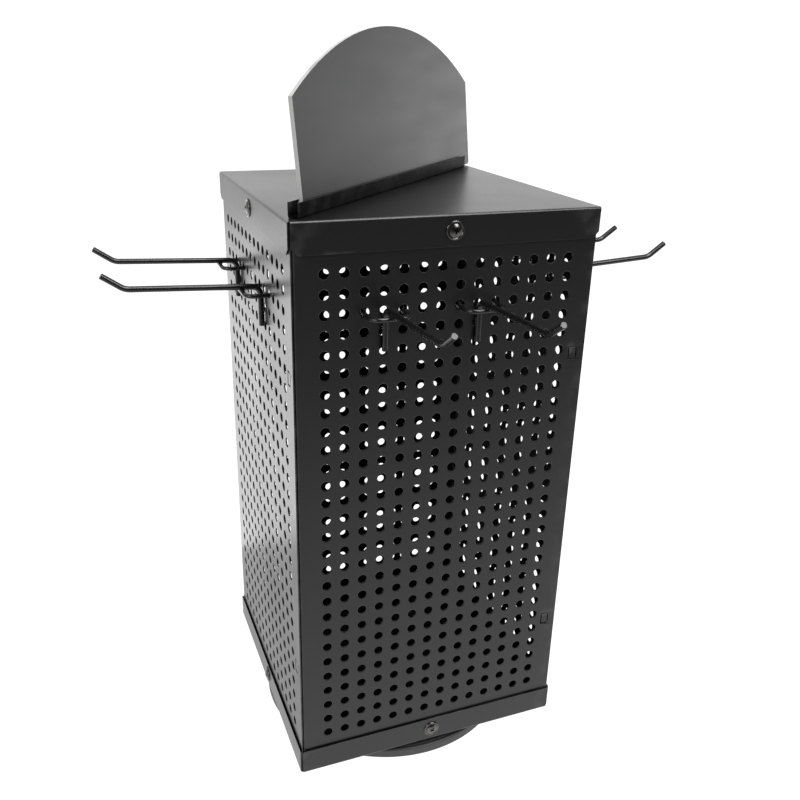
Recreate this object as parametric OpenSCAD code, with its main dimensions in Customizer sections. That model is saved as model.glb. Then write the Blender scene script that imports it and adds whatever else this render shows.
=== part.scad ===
// Counter-top rotating pegboard display: a square perforated sheet-steel tower
// on a round turntable base, with a slotted holder and an arched sign on top.
// Units are millimetres, Z is up, the rotation axis is Z and the floor is z = 0.
// The front panel faces -Y.

/* [Tower] */
// Width across the outer faces of two opposite panels
body_w = 205; // [204:0.5:207]
// Height from the underside of the tray to the top of the cap
body_h = 406.4; // [400:0.1:410]
// Thickness of the panel, cap and tray sheet
sheet = 1; // [0.8:0.1:1.1]
// Gap between a panel and the flange that covers it
flange_gap = 0.4; // [0.3:0.1:0.6]
// Height of the cap and tray flanges
flange_h = 20; // [18:0.5:22]
// Outside radius of the folded edges
fold_r = 1.6; // [1.4:0.1:1.8]

/* [Peg holes] */
// Distance between peg holes
pitch = 12.7; // [12.6:0.05:12.75]
// Columns of holes on each panel
hole_cols = 14; // [10:2:14]
// Rows of holes on each panel
hole_rows = 28; // [20:2:28]
// Diameter of a peg hole
hole_d = 6.35; // [6.2:0.05:6.5]

/* [Turntable] */
// Diameter of the base
base_d = 203.2; // [195:0.1:206]
// Height of the base rim
base_h = 7.5; // [7:0.1:9]
// Thickness of the base plate
base_t = 1.5; // [1.2:0.1:1.8]
// How far the rubber feet stand below the rim
foot_drop = 2; // [1.5:0.1:3]
// Thickness of the ball bearing, from base to tray
bearing_h = 8; // [8:0.1:9]
// Side of the square bearing plates
bearing_w = 101.6; // [98:0.1:104]
// Number of bearing balls
ball_n = 24; // [16:1:26]

/* [Sign] */
// Width of the sign
sign_w = 273; // [240:1:276]
// Height of the sign's straight sides
sign_side_h = 64.5; // [50:0.5:70]
// Height of the sign at the middle of its arch
sign_mid_h = 103.5; // [95:0.5:110]
// Thickness of the sign
sign_t = 3; // [2.5:0.1:3.4]
// Lean of the sign in its holder, in degrees
sign_lean = 5.8; // [4:0.1:7]
// How far the sign stands along the holder from the middle of the cap
sign_shift = 8.9; // [-10:0.1:12]
// Length of the holder
holder_l = 267.5; // [230:0.5:275]
// How far the holder's middle is from the middle of the cap
holder_shift = -3.3; // [-5:0.1:5]
// Angle of the holder across the cap, in degrees
holder_yaw = 44.2; // [42:0.1:48]
// Height of the holder's walls above the cap
holder_h = 9.2; // [8:0.1:10]

/* [Hooks] */
// Reach of a hook from the panel to its tip
hook_reach = 100.7; // [92:0.1:104]
// Diameter of the hook's bracket wire
prong_d = 3; // [2.8:0.1:3]
// Row of holes that the hooks hang in, counted from the top
hook_row = 2; // [2:1:20]
// How far the bracket's cross bar stands out from the panel
bar_out = 14.5; // [13:0.1:16]

/* [Hidden] */
$fn = 48;

// Levels
z_rim = foot_drop;
z_base = z_rim + base_h;
z_tray = z_base + bearing_h;
z_top = z_tray + body_h;
z_field = z_tray + body_h / 2;

// Tower
half = body_w / 2;
cap_half = half + flange_gap + sheet;
seat_gap = 0.1;
panel_z0 = z_tray + sheet + seat_gap;
panel_z1 = z_top - sheet - seat_gap;
panel_h = panel_z1 - panel_z0;
lap_gap = 0.2;
fold_x = half - sheet - lap_gap;
panel_fold_r = 2;
raw_edge = half - 0.5;
return_w = 15.5;
screw_inset = 10;
flange_corner = 4;

// Interlocking slots and tabs near the panels' upright edges
slot_u = 93;
slot_w = 6.4;
slot_h = 9.5;
slot_r = 2.6;
slot_levels = [z_tray + 89.3, z_tray + 308];
tab_w = 5.2;
tab_h = 8;
tab_recess = 0.1;

// Screws
m5_r = 2.5;
m5_hole_r = 2.75;
washer_r = 6.1;
washer_t = 0.9;
dome_r = 4.15;
dome_h = 2.4;
dome_curve_r = 5;
cross_l = 4.6;
cross_w = 1.1;
cross_depth = 1.7;
nut_across = 8;
nut_t = 4;
thread_gap = 0.02;
// how far a screw's end stands out past its nut or plate
screw_end = 1;
m4_r = 2;
m4_hole_r = 2.2;
m4_head_r = 3.8;
m4_head_h = 2.4;
head_round = 0.6;
driver_w = 0.8;
driver_depth = 1.2;

// Base plate: centre hole, and the pressed groove inside the rim
base_bore_r = 20;
groove_in = 3.2;
groove_w = 0.9;
groove_depth = 0.6;

// Bearing: ball race, the lower plate's collar and lip, and the upper plate's ring below that lip
bearing_t = 1.2;
bearing_hole = 44.45;
bearing_corner = 6;
z_ball = z_base + bearing_h / 2;
ball_gap = 0.05;
ball_r = (bearing_h - 2 * bearing_t) / 2 - ball_gap;
race_r = 33.5;
race_wall_r = 38;
race_wall_h = 3.5;
collar_r = 20.2;
collar_h = bearing_h - 0.9;
collar_lip = 4.2;
ring_gap = 0.4;
ring_r = 27.4;
ring_z = collar_h - 2 * bearing_t - ring_gap;
ring_lip_r = collar_r + bearing_t + ring_gap;
access_r = 4;
retainer_out_r = 37.4;
retainer_in_r = 29.3;
retainer_t = 0.8;
retainer_play = 0.1;

// Feet
foot_r = 9;
foot_at = 80;
foot_h = foot_drop + base_h - base_t;
foot_bore_r = 3.8;
foot_bore_h = 4;
foot_taper = 0.7;
foot_edge = 0.8;
foot_head_r = 3.4;
foot_head_h = 2.2;

// Hooks: columns of the arms on the front, right, back and left panels
arm_cols = [[3, 8], [3, 8], [3, 8], [3, 9]];
z_hook = z_field + ((hole_rows - 1) / 2 - hook_row) * pitch;
prong_r = prong_d / 2;
arm_r = 2;
prong_drop = 1.2;
prong_bend = 3;
bar_bend = 6;
arm_bend = 6.1;
arm_rise = 3;
tip_angle = 35;
tip_bend = 11;
tip_run = 13.4;
leg_reach = 25;
leg_gap = 0.3;
weld_bite = 0.1;
prong_rise = 6;
prong_gap = 0.4;

// Sign holder: a channel just wide enough for the leaning sign
holder_t = 0.8;
sign_gap = 0.2;
sign_corner = 3;
slot_depth = holder_h - holder_t;
holder_w = sign_t / cos(sign_lean) + slot_depth * tan(sign_lean) + 2 * (holder_t + sign_gap);

coat = [0.09, 0.09, 0.095];
zinc = [0.55, 0.56, 0.58];
black_steel = [0.16, 0.16, 0.17];

// Position of column c across a panel, from the panel's middle
function col_u(c) = (c - (hole_cols - 1) / 2) * pitch;
// Height of row r of the peg holes
function row_z(r) = z_field + ((hole_rows - 1) / 2 - r) * pitch;

// Puts a thing made for the front panel on side k: front, right, back, left
module side(k) rotate([0, 0, 90 * k]) children();

// Four copies round the axis, one for each side
module each_side() for (k = [0:3]) side(k) children();

// Four copies at the corners of a square of half-width d
module square_corners(d) for (x = [-d, d], y = [-d, d]) translate([x, y, 0]) children();

// A drawing in X and Z, given a thickness along +Y from y
module upright(y, t) translate([0, y + t, 0]) rotate([90, 0, 0]) linear_extrude(height = t) children();

// ---------------------------------------------------------------- turntable

module base_plate() color(coat) difference() {
    translate([0, 0, z_rim]) rotate_extrude($fn = 96) difference() {
        union() {
            square([base_d / 2 - fold_r, base_h]);
            square([base_d / 2, base_h - fold_r]);
            translate([base_d / 2 - fold_r, base_h - fold_r]) circle(r = fold_r);
        }
        translate([-1, -1]) square([base_d / 2 - base_t + 1, base_h - base_t + 1]);
        translate([base_d / 2 - groove_in, base_h - groove_depth]) square([groove_w, 1]);
    }
    square_corners(bearing_hole) translate([0, 0, z_rim]) cylinder(r = m4_hole_r, h = base_h + 1);
    square_corners(foot_at / sqrt(2)) translate([0, 0, z_rim]) cylinder(r = m4_hole_r, h = base_h + 1);
    translate([0, 0, z_rim]) cylinder(r = base_bore_r, h = base_h + 1);
}

module base_feet() color("dimgray") square_corners(foot_at / sqrt(2)) rotate_extrude() polygon([
    [m4_hole_r, foot_bore_h], [foot_bore_r, foot_bore_h], [foot_bore_r, 0],
    [foot_r - foot_taper - foot_edge, 0], [foot_r - foot_taper, foot_edge],
    [foot_r, foot_h], [m4_hole_r, foot_h]]);

// Pan-head screw: head under the origin, shank pointing up for length l
module pan_screw(r, l, head_r, head_h) {
    cylinder(r = r, h = l);
    difference() {
        translate([0, 0, -head_h]) rotate_extrude() union() {
            translate([0, head_round]) square([head_r, head_h - head_round]);
            square([head_r - head_round, head_h]);
            intersection() {
                translate([head_r - head_round, head_round]) circle(r = head_round);
                square([head_r, head_h]);
            }
        }
        translate([0, 0, -head_h]) for (a = [0, 90]) rotate([0, 0, a])
            cube([head_r * 1.1, driver_w, 2 * driver_depth], center = true);
    }
}

module foot_screws() color(zinc) square_corners(foot_at / sqrt(2))
    translate([0, 0, foot_bore_h])
        pan_screw(m4_r, z_base + screw_end - foot_bore_h, foot_head_r, foot_head_h);

module base_screws() color(zinc) square_corners(bearing_hole)
    translate([0, 0, z_base - base_t])
        pan_screw(m4_r, base_t + bearing_t + screw_end, m4_head_r, m4_head_h);

module bearing_square(z) translate([0, 0, z]) linear_extrude(height = bearing_t) {
    square([bearing_w, bearing_w - 2 * bearing_corner], center = true);
    square([bearing_w - 2 * bearing_corner, bearing_w], center = true);
    square_corners(bearing_w / 2 - bearing_corner) circle(r = bearing_corner);
}

module bearing_lower_plate() color(zinc) {
    difference() {
        bearing_square(z_base);
        translate([0, 0, z_base - 1]) cylinder(r = collar_r, h = 4);
        square_corners(bearing_hole) translate([0, 0, z_base - 1]) cylinder(r = m4_r, h = 4);
        // hole for reaching the upper screws
        translate([bearing_hole, 0, z_base - 1]) cylinder(r = access_r, h = 4);
    }
    // collar with a rolled lip, and the outer wall of the ball race
    translate([0, 0, z_base]) rotate_extrude() union() {
        translate([collar_r, 0]) square([bearing_t, collar_h]);
        translate([collar_r, collar_h - bearing_t]) square([collar_lip, bearing_t]);
        translate([race_wall_r, 0]) square([bearing_t, race_wall_h]);
    }
}

module bearing_balls() color("silver") for (i = [0:ball_n - 1])
    rotate([0, 0, i * 360 / ball_n]) translate([race_r, 0, z_ball]) sphere(r = ball_r, $fn = 24);

module bearing_retainer() color("gainsboro") translate([0, 0, z_ball - retainer_t / 2]) difference() {
    cylinder(r = retainer_out_r, h = retainer_t);
    translate([0, 0, -1]) cylinder(r = retainer_in_r, h = 3);
    for (i = [0:ball_n - 1]) rotate([0, 0, i * 360 / ball_n])
        translate([race_r, 0, -1]) cylinder(r = ball_r + retainer_play, h = 3);
}

module bearing_upper_plate() color(zinc) {
    difference() {
        bearing_square(z_tray - bearing_t);
        translate([0, 0, z_tray - bearing_t - 1]) cylinder(r = ring_r, h = 4);
        square_corners(bearing_hole) translate([0, 0, z_tray - bearing_t - 1]) cylinder(r = m4_r, h = 4);
    }
    // dished inner ring that the lower plate's lip holds down
    rotate_extrude() union() {
        translate([ring_r, z_base + ring_z]) square([bearing_t, bearing_h - ring_z]);
        translate([ring_lip_r, z_base + ring_z]) square([ring_r + bearing_t - ring_lip_r, bearing_t]);
    }
}

module tray_bearing_screws() color(zinc) square_corners(bearing_hole)
    translate([0, 0, z_tray + sheet]) rotate([180, 0, 0])
        pan_screw(m4_r, sheet + bearing_t + screw_end, m4_head_r, m4_head_h);

// ---------------------------------------------------------------- cap and tray

// One flange with its fold, for the front edge of a cover whose face is at z = 0, hanging down
module cover_flange() {
    run = 2 * (cap_half - fold_r);
    difference() {
        translate([-run / 2, 0, 0]) rotate([90, 0, 90]) linear_extrude(height = run) {
            translate([-cap_half, -flange_h]) square([sheet, flange_h - fold_r]);
            intersection() {
                translate([-cap_half + fold_r, -fold_r]) difference() {
                    circle(r = fold_r);
                    circle(r = fold_r - sheet);
                }
                translate([-cap_half, -fold_r]) square([fold_r, fold_r]);
            }
        }
        // clipped lower corners
        for (s = [-1, 1]) translate([s * run / 2, -cap_half, -flange_h]) rotate([0, 45, 0])
            cube([flange_corner * sqrt(2), 4 * sheet, flange_corner * sqrt(2)], center = true);
        translate([0, -cap_half + 2 * sheet, -screw_inset]) rotate([90, 0, 0])
            cylinder(r = m5_hole_r, h = 4 * sheet);
    }
}

// Folded cover: a square face at z = 0 with a flange hanging from each edge
module cover() {
    w = 2 * (cap_half - fold_r);
    translate([-w / 2, -w / 2, -sheet]) cube([w, w, sheet]);
    each_side() cover_flange();
}

module top_cap() color(coat) translate([0, 0, z_top]) cover();

module bottom_tray() color(coat) difference() {
    translate([0, 0, z_tray]) mirror([0, 0, 1]) cover();
    square_corners(bearing_hole) translate([0, 0, z_tray - 1]) cylinder(r = m4_hole_r, h = sheet + 2);
}

// ---------------------------------------------------------------- panels

// A slot with a straight left side and a rounded right side
module slot_shape() {
    translate([-slot_w / 2, -slot_h / 2]) square([slot_w - slot_r, slot_h]);
    translate([-slot_w / 2, -slot_h / 2 + slot_r]) square([slot_w, slot_h - 2 * slot_r]);
    for (s = [-1, 1]) translate([slot_w / 2 - slot_r, s * (slot_h / 2 - slot_r)]) circle(r = slot_r);
}

// Flat face of a panel, drawn in X and Z
module panel_face() difference() {
    translate([-fold_x + panel_fold_r, panel_z0]) square([raw_edge + fold_x - panel_fold_r, panel_h]);
    for (c = [0:hole_cols - 1], r = [0:hole_rows - 1])
        translate([col_u(c), row_z(r)]) circle(d = hole_d, $fn = 24);
    for (z = slot_levels) translate([slot_u, z]) slot_shape();
    for (z = [z_tray + screw_inset, z_top - screw_inset]) translate([0, z]) circle(r = m5_hole_r);
}

// Front panel: perforated face, folded left edge, and a return with two tabs
// that sit in the slots of the panel on the left
module panel() {
    upright(-half, sheet) panel_face();
    translate([0, 0, panel_z0]) linear_extrude(height = panel_h) {
        intersection() {
            translate([-fold_x + panel_fold_r, -half + panel_fold_r]) difference() {
                circle(r = panel_fold_r);
                circle(r = panel_fold_r - sheet);
            }
            translate([-fold_x, -half]) square([panel_fold_r, panel_fold_r]);
        }
        translate([-fold_x, -half + panel_fold_r]) square([sheet, return_w - panel_fold_r]);
    }
    for (z = slot_levels) translate([-half + tab_recess, -slot_u - tab_w / 2, z - tab_h / 2])
        cube([sheet + lap_gap, tab_w, tab_h]);
}

module panel_front() color(coat) side(0) panel();
module panel_right() color(coat) side(1) panel();
module panel_back() color(coat) side(2) panel();
module panel_left() color(coat) side(3) panel();

// Washer-head cross-recess screw for the front face, at height z
module cover_screw(z) translate([0, -cap_half, z]) rotate([90, 0, 0]) {
    shank = cap_half - half + sheet + nut_t + screw_end;
    difference() {
        rotate_extrude() {
            square([washer_r, washer_t]);
            intersection() {
                translate([0, washer_t + dome_h - dome_curve_r]) circle(r = dome_curve_r);
                translate([0, washer_t]) square([dome_r, dome_h]);
            }
        }
        for (a = [0, 90]) rotate([0, 0, a]) translate([0, 0, washer_t + dome_h])
            cube([cross_l, cross_w, 2 * cross_depth], center = true);
    }
    translate([0, 0, -shank]) cylinder(r = m5_r, h = shank);
}

// Hexagon nut on the inside of the front panel, at height z
module cover_nut(z) translate([0, -half + sheet + nut_t, z]) rotate([90, 0, 0]) difference() {
    cylinder(r = nut_across / sqrt(3), h = nut_t, $fn = 6);
    translate([0, 0, -1]) cylinder(r = m5_r + thread_gap, h = nut_t + 2);
}

module cap_screws() color(black_steel) each_side() cover_screw(z_top - screw_inset);
module cap_nuts() color(zinc) each_side() cover_nut(z_top - screw_inset);
module tray_screws() color(black_steel) each_side() cover_screw(z_tray + screw_inset);
module tray_nuts() color(zinc) each_side() cover_nut(z_tray + screw_inset);

// ---------------------------------------------------------------- sign

// Puts a thing that runs along +X, at the top of the cap, in the holder's place
module on_holder() translate([0, 0, z_top]) rotate([0, 0, holder_yaw]) children();

// Open-ended channel with rounded lower edges, standing across the cap
module sign_holder() color(coat) on_holder()
    translate([holder_shift - holder_l / 2, 0, 0]) rotate([90, 0, 90])
        linear_extrude(height = holder_l) difference() {
            union() {
                translate([-holder_w / 2, fold_r]) square([holder_w, holder_h - fold_r]);
                translate([-holder_w / 2 + fold_r, 0]) square([holder_w - 2 * fold_r, holder_h]);
                for (s = [-1, 1]) translate([s * (holder_w / 2 - fold_r), fold_r]) circle(r = fold_r);
            }
            translate([-holder_w / 2 + holder_t, holder_t])
                square([holder_w - 2 * holder_t, holder_h]);
        }

// Outline of the sign: straight sides, an arched top and rounded lower corners
module sign_shape() {
    rise = sign_mid_h - sign_side_h;
    arch_r = (pow(sign_w / 2, 2) + pow(rise, 2)) / (2 * rise);
    intersection() {
        union() {
            translate([-sign_w / 2, sign_corner]) square([sign_w, sign_mid_h - sign_corner]);
            translate([-sign_w / 2 + sign_corner, 0]) square([sign_w - 2 * sign_corner, sign_mid_h]);
            for (s = [-1, 1]) translate([s * (sign_w / 2 - sign_corner), sign_corner])
                circle(r = sign_corner);
        }
        translate([0, sign_mid_h - arch_r]) circle(r = arch_r, $fn = 180);
    }
}

// Flat board that stands in the holder and leans back against its rear wall
module sign_panel() color([0.2, 0.2, 0.21]) {
    front_y = -holder_w / 2 + holder_t + sign_gap;
    foot_z = holder_t + sign_gap + sign_t * sin(sign_lean);
    on_holder() translate([sign_shift, front_y, foot_z]) rotate([-sign_lean, 0, 0])
        upright(0, sign_t) sign_shape();
}

// ---------------------------------------------------------------- hooks

// Bent wire along +X. Each move is [straight run, roll before the bend, bend angle, bend radius],
// and a bend turns towards +Y
module wire(moves, r, k = 0) {
    run = moves[k][0];
    turn = moves[k][2];
    rad = moves[k][3];
    rotate([0, 90, 0]) cylinder(r = r, h = run, $fn = 24);
    if (k + 1 < len(moves)) translate([run, 0, 0]) rotate([moves[k][1], 0, 0]) {
        translate([0, rad, 0]) rotate([0, 0, -90])
            rotate_extrude(angle = turn, $fn = 96) translate([rad, 0]) circle(r = r, $fn = 24);
        translate([rad * sin(turn), rad * (1 - cos(turn)), 0]) rotate([0, 0, turn]) wire(moves, r, k + 1);
    }
}

// Arm of a front hook on column c: a leg against the panel, the long arm and its upturned tip
module hook_arm(c) {
    // the arm rests on the cross bar, so the leg's length follows from the bar's place
    cross_z = prong_r + arm_r - prong_drop - weld_bite;
    bend_out = leg_gap + arm_r + arm_bend * (1 - sin(arm_rise));
    leg = leg_reach + cross_z - arm_bend * cos(arm_rise) - (bar_out - bend_out) * tan(arm_rise);
    tip_out = tip_run * cos(tip_angle) + tip_bend * (sin(tip_angle) - sin(arm_rise));
    arm_run = (hook_reach - bend_out - tip_out) / cos(arm_rise);
    translate([col_u(c), -half - leg_gap - arm_r, z_hook - leg_reach])
        rotate([0, -90, 0]) rotate([180, 0, 0])
            wire([[leg, 0, 90 - arm_rise, arm_bend], [arm_run, 180, tip_angle - arm_rise, tip_bend],
                [tip_run]], arm_r);
}

// Bracket of a front hook: two prongs up behind the panel, and a cross bar in front under the arm
module hook_bracket(c) {
    reach_in = sheet + prong_gap;
    straight_out = bar_out - bar_bend + reach_in;
    top_z = z_hook - prong_drop + prong_bend + prong_rise;
    translate([col_u(c) - pitch, -half + reach_in + prong_bend, top_z])
        rotate([0, 90, 0]) rotate([180, 0, 0])
            wire([[prong_rise, 0, 90, prong_bend], [straight_out, -90, 90, bar_bend],
                [2 * (pitch - bar_bend), 0, 90, bar_bend], [straight_out, 90, 90, prong_bend],
                [prong_rise]], prong_r);
}

module hook_arm_front_a() color(black_steel) side(0) hook_arm(arm_cols[0][0]);
module hook_arm_front_b() color(black_steel) side(0) hook_arm(arm_cols[0][1]);
module hook_arm_right_a() color(black_steel) side(1) hook_arm(arm_cols[1][0]);
module hook_arm_right_b() color(black_steel) side(1) hook_arm(arm_cols[1][1]);
module hook_arm_back_a() color(black_steel) side(2) hook_arm(arm_cols[2][0]);
module hook_arm_back_b() color(black_steel) side(2) hook_arm(arm_cols[2][1]);
module hook_arm_left_a() color(black_steel) side(3) hook_arm(arm_cols[3][0]);
module hook_arm_left_b() color(black_steel) side(3) hook_arm(arm_cols[3][1]);

module hook_bracket_front_a() color(black_steel) side(0) hook_bracket(arm_cols[0][0]);
module hook_bracket_front_b() color(black_steel) side(0) hook_bracket(arm_cols[0][1]);
module hook_bracket_right_a() color(black_steel) side(1) hook_bracket(arm_cols[1][0]);
module hook_bracket_right_b() color(black_steel) side(1) hook_bracket(arm_cols[1][1]);
module hook_bracket_back_a() color(black_steel) side(2) hook_bracket(arm_cols[2][0]);
module hook_bracket_back_b() color(black_steel) side(2) hook_bracket(arm_cols[2][1]);
module hook_bracket_left_a() color(black_steel) side(3) hook_bracket(arm_cols[3][0]);
module hook_bracket_left_b() color(black_steel) side(3) hook_bracket(arm_cols[3][1]);

base_plate();
base_feet();
foot_screws();
base_screws();
bearing_lower_plate();
bearing_balls();
bearing_retainer();
bearing_upper_plate();
tray_bearing_screws();
bottom_tray();
panel_front();
panel_right();
panel_back();
panel_left();
top_cap();
cap_screws();
cap_nuts();
tray_screws();
tray_nuts();
sign_holder();
sign_panel();
hook_arm_front_a();
hook_arm_front_b();
hook_arm_right_a();
hook_arm_right_b();
hook_arm_back_a();
hook_arm_back_b();
hook_arm_left_a();
hook_arm_left_b();
hook_bracket_front_a();
hook_bracket_front_b();
hook_bracket_right_a();
hook_bracket_right_b();
hook_bracket_back_a();
hook_bracket_back_b();
hook_bracket_left_a();
hook_bracket_left_b();
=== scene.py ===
"""Looks for the rotating pegboard counter display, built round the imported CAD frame."""

import math

import bmesh
import bpy
from mathutils import Matrix, Vector
from mathutils.geometry import tessellate_polygon


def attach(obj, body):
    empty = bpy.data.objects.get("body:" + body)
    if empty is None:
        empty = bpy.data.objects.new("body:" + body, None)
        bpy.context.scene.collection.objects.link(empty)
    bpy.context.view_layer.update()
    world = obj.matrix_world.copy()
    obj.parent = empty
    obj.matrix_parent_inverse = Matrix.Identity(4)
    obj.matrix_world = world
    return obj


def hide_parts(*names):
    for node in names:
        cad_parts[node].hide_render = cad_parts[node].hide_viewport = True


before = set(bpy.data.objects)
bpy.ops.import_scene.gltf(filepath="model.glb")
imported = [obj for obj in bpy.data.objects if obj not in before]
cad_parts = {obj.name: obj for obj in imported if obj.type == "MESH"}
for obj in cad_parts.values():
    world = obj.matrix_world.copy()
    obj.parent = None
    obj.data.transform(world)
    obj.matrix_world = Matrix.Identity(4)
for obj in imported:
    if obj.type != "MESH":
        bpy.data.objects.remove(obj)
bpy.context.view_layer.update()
MM = 0.001

# ---------------------------------------------------------------- sizes, in millimetres
HALF = 102.5
SHEET = 1.0
CAP_HALF = 103.9
FLANGE_H = 20.0
FOLD_R = 1.6
CAP_CLIP, TRAY_CLIP = 4.0, 0.8
PITCH = 12.7
COLS, ROWS = 14, 28
HOLE_R = 3.175
Z_BASE, Z_TRAY, Z_TOP = 9.5, 17.5, 423.9
Z_FIELD = 220.7
PANEL_Z0, PANEL_Z1 = 18.6, 422.8
FOLD_X = 101.3
RAW_EDGE = 102.0
PANEL_FOLD_R = 2.0
RETURN_W = 15.5
SLOT_U, SLOT_W, SLOT_H, SLOT_R = 93.0, 6.4, 9.5, 2.6
SLOT_Z = (106.8, 325.5)
TAB_W, TAB_H = 5.2, 8.0
SCREW_INSET = 10.0
WASHER_R, WASHER_T, DOME_R, DOME_H, DOME_CURVE = 6.1, 0.9, 4.15, 1.4, 7.6
RECESS_L, RECESS_W, RECESS_DEPTH = 4.7, 1.05, 1.6
SHANK_R, SHANK_L = 2.5, 6.8
SCREW_LEANS = (28, 61, 12, 77)
BASE_R, BASE_T, BASE_HOLE_R, Z_RIM = 101.6, 1.5, 20.0, 2.0
FOOT_CIRCLE_R = 80.0
SIGN_W, SIGN_SIDE, SIGN_MID, SIGN_T, SIGN_LEAN = 273.0, 64.5, 103.5, 3.0, 5.8
SIGN_SHIFT, SIGN_CORNER, SIGN_GAP = 8.9, 3.0, 0.2
HOLDER_L, HOLDER_SHIFT, HOLDER_YAW, HOLDER_H, HOLDER_T, HOLDER_R = 267.5, -3.3, 44.2, 9.2, 0.8, 1.6
SIDES = ("front", "right", "back", "left")
HOOK_COLS = {"front": (3, 8), "right": (3, 8), "back": (3, 8), "left": (3, 9)}
HOOK_ROW = 2
ARM_R, PRONG_R = 2.0, 1.5
ARM_REACH, ARM_RISE, ARM_BEND, ARM_GAP = 100.7, 3.0, 6.1, 0.3
TIP_ANGLE, TIP_RUN, TIP_BEND, LEG_REACH = 35.0, 13.4, 11.0, 25.0
BAR_OUT, BAR_BEND, BAR_DROP, WELD_BITE = 14.5, 6.0, 1.2, 0.1
PRONG_IN, PRONG_BEND, PRONG_RUN = SHEET + 0.4, 3.0, 6.0


# ---------------------------------------------------------------- mesh helpers
def mesh_from(name, verts, faces):
    """A mesh from points in millimetres."""
    mesh = bpy.data.meshes.new(name)
    mesh.from_pydata([(x * MM, y * MM, z * MM) for x, y, z in verts], [], faces)
    mesh.validate()
    mesh.update()
    return mesh


def welded(mesh, distance=0.004):
    """Joins points that lie closer together than the given distance."""
    bm = bmesh.new()
    bm.from_mesh(mesh)
    bmesh.ops.remove_doubles(bm, verts=bm.verts, dist=distance * MM)
    bm.to_mesh(mesh)
    bm.free()
    return mesh


def add_object(name, mesh):
    obj = bpy.data.objects.new(name, mesh)
    bpy.context.scene.collection.objects.link(obj)
    return obj


def smooth(mesh, degrees):
    """Smooth shading, with creases where faces meet at more than the given angle."""
    for p in mesh.polygons:
        p.use_smooth = True
    mesh.set_sharp_from_angle(angle=math.radians(degrees))
    return mesh


def second_material(mesh, test):
    """Gives the mesh's second material to the faces that pass the test."""
    for p in mesh.polygons:
        p.material_index = 1 if test(p) else 0
    return mesh


def finished(mesh, thickness, edge, segments=2, bevel_angle=50.0):
    """Gives a sheet its thickness, rounds its raw edges, and returns the finished mesh."""
    obj = add_object("work", mesh)
    if thickness:
        solid = obj.modifiers.new("sheet", "SOLIDIFY")
        solid.thickness = thickness * MM
        solid.offset = -1
        solid.use_even_offset = True
    bevel = obj.modifiers.new("edges", "BEVEL")
    bevel.width = edge * MM
    bevel.segments = segments
    bevel.limit_method = "ANGLE"
    bevel.angle_limit = math.radians(bevel_angle)
    bevel.use_clamp_overlap = False
    bpy.context.view_layer.update()
    graph = bpy.context.evaluated_depsgraph_get()
    made = bpy.data.meshes.new_from_object(obj.evaluated_get(graph))
    made.name = mesh.name
    bpy.data.objects.remove(obj)
    return smooth(made, 35.0)


def flat_normals(obj):
    """Keeps flat faces flat beside rounded edges."""
    mod = obj.modifiers.new("normals", "WEIGHTED_NORMAL")
    mod.mode = "FACE_AREA"
    mod.weight = 60
    mod.keep_sharp = True


def place(obj, body, node, slot_name, *materials):
    """Gives a piece its materials, hides the CAD part it replaces and hangs it on the body it rides on."""
    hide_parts(node)
    for material in materials:
        obj.data.materials.append(material)
    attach(obj, body)
    return obj


def turned(k):
    """A quarter turn about Z for each side of the tower: front, right, back, left."""
    return Matrix.Rotation(math.radians(90 * k), 4, "Z")


def arc(cx, cy, r, a0, a1, n):
    """Points on an arc from angle a0 to a1, in degrees, both ends included."""
    angles = [math.radians(a0 + (a1 - a0) * i / n) for i in range(n + 1)]
    return [(cx + r * math.cos(a), cy + r * math.sin(a)) for a in angles]


# ---------------------------------------------------------------- materials
def new_material(name):
    mat = bpy.data.materials.new(name)
    mat.use_nodes = True
    nt = mat.node_tree
    nt.nodes.clear()
    out = nt.nodes.new("ShaderNodeOutputMaterial")
    bsdf = nt.nodes.new("ShaderNodeBsdfPrincipled")
    nt.links.new(bsdf.outputs["BSDF"], out.inputs["Surface"])
    coord = nt.nodes.new("ShaderNodeTexCoord")
    return mat, nt, bsdf, coord.outputs["Object"]


def noise(nt, coord, scale, detail=2.0, rough=0.5):
    n = nt.nodes.new("ShaderNodeTexNoise")
    n.inputs["Scale"].default_value = scale
    n.inputs["Detail"].default_value = detail
    n.inputs["Roughness"].default_value = rough
    nt.links.new(coord, n.inputs["Vector"])
    return n.outputs["Fac"]


def spread(nt, value, low, high, out_low, out_high):
    """Maps the range low to high onto out_low to out_high."""
    m = nt.nodes.new("ShaderNodeMapRange")
    m.inputs["From Min"].default_value = low
    m.inputs["From Max"].default_value = high
    m.inputs["To Min"].default_value = out_low
    m.inputs["To Max"].default_value = out_high
    nt.links.new(value, m.inputs["Value"])
    return m.outputs["Result"]


def times(nt, a, b, op="MULTIPLY"):
    """Multiplies two values, or combines them by another operation."""
    m = nt.nodes.new("ShaderNodeMath")
    m.operation = op
    for socket, v in zip(m.inputs, (a, b)):
        if isinstance(v, (int, float)):
            socket.default_value = v
        else:
            nt.links.new(v, socket)
    return m.outputs["Value"]


def blend_colour(nt, fac, a, b):
    m = nt.nodes.new("ShaderNodeMix")
    m.data_type = "RGBA"
    nt.links.new(fac, m.inputs["Factor"])
    for key, v in (("A", a), ("B", b)):
        socket = [s for s in m.inputs if s.name == key and s.type == "RGBA"][0]
        if isinstance(v, tuple):
            socket.default_value = (*v, 1.0)
        else:
            nt.links.new(v, socket)
    return [s for s in m.outputs if s.type == "RGBA"][0]


def bump(nt, height, strength, distance, after=None):
    b = nt.nodes.new("ShaderNodeBump")
    b.inputs["Strength"].default_value = strength
    b.inputs["Distance"].default_value = distance
    nt.links.new(height, b.inputs["Height"])
    if after is not None:
        nt.links.new(after, b.inputs["Normal"])
    return b.outputs["Normal"]


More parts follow.
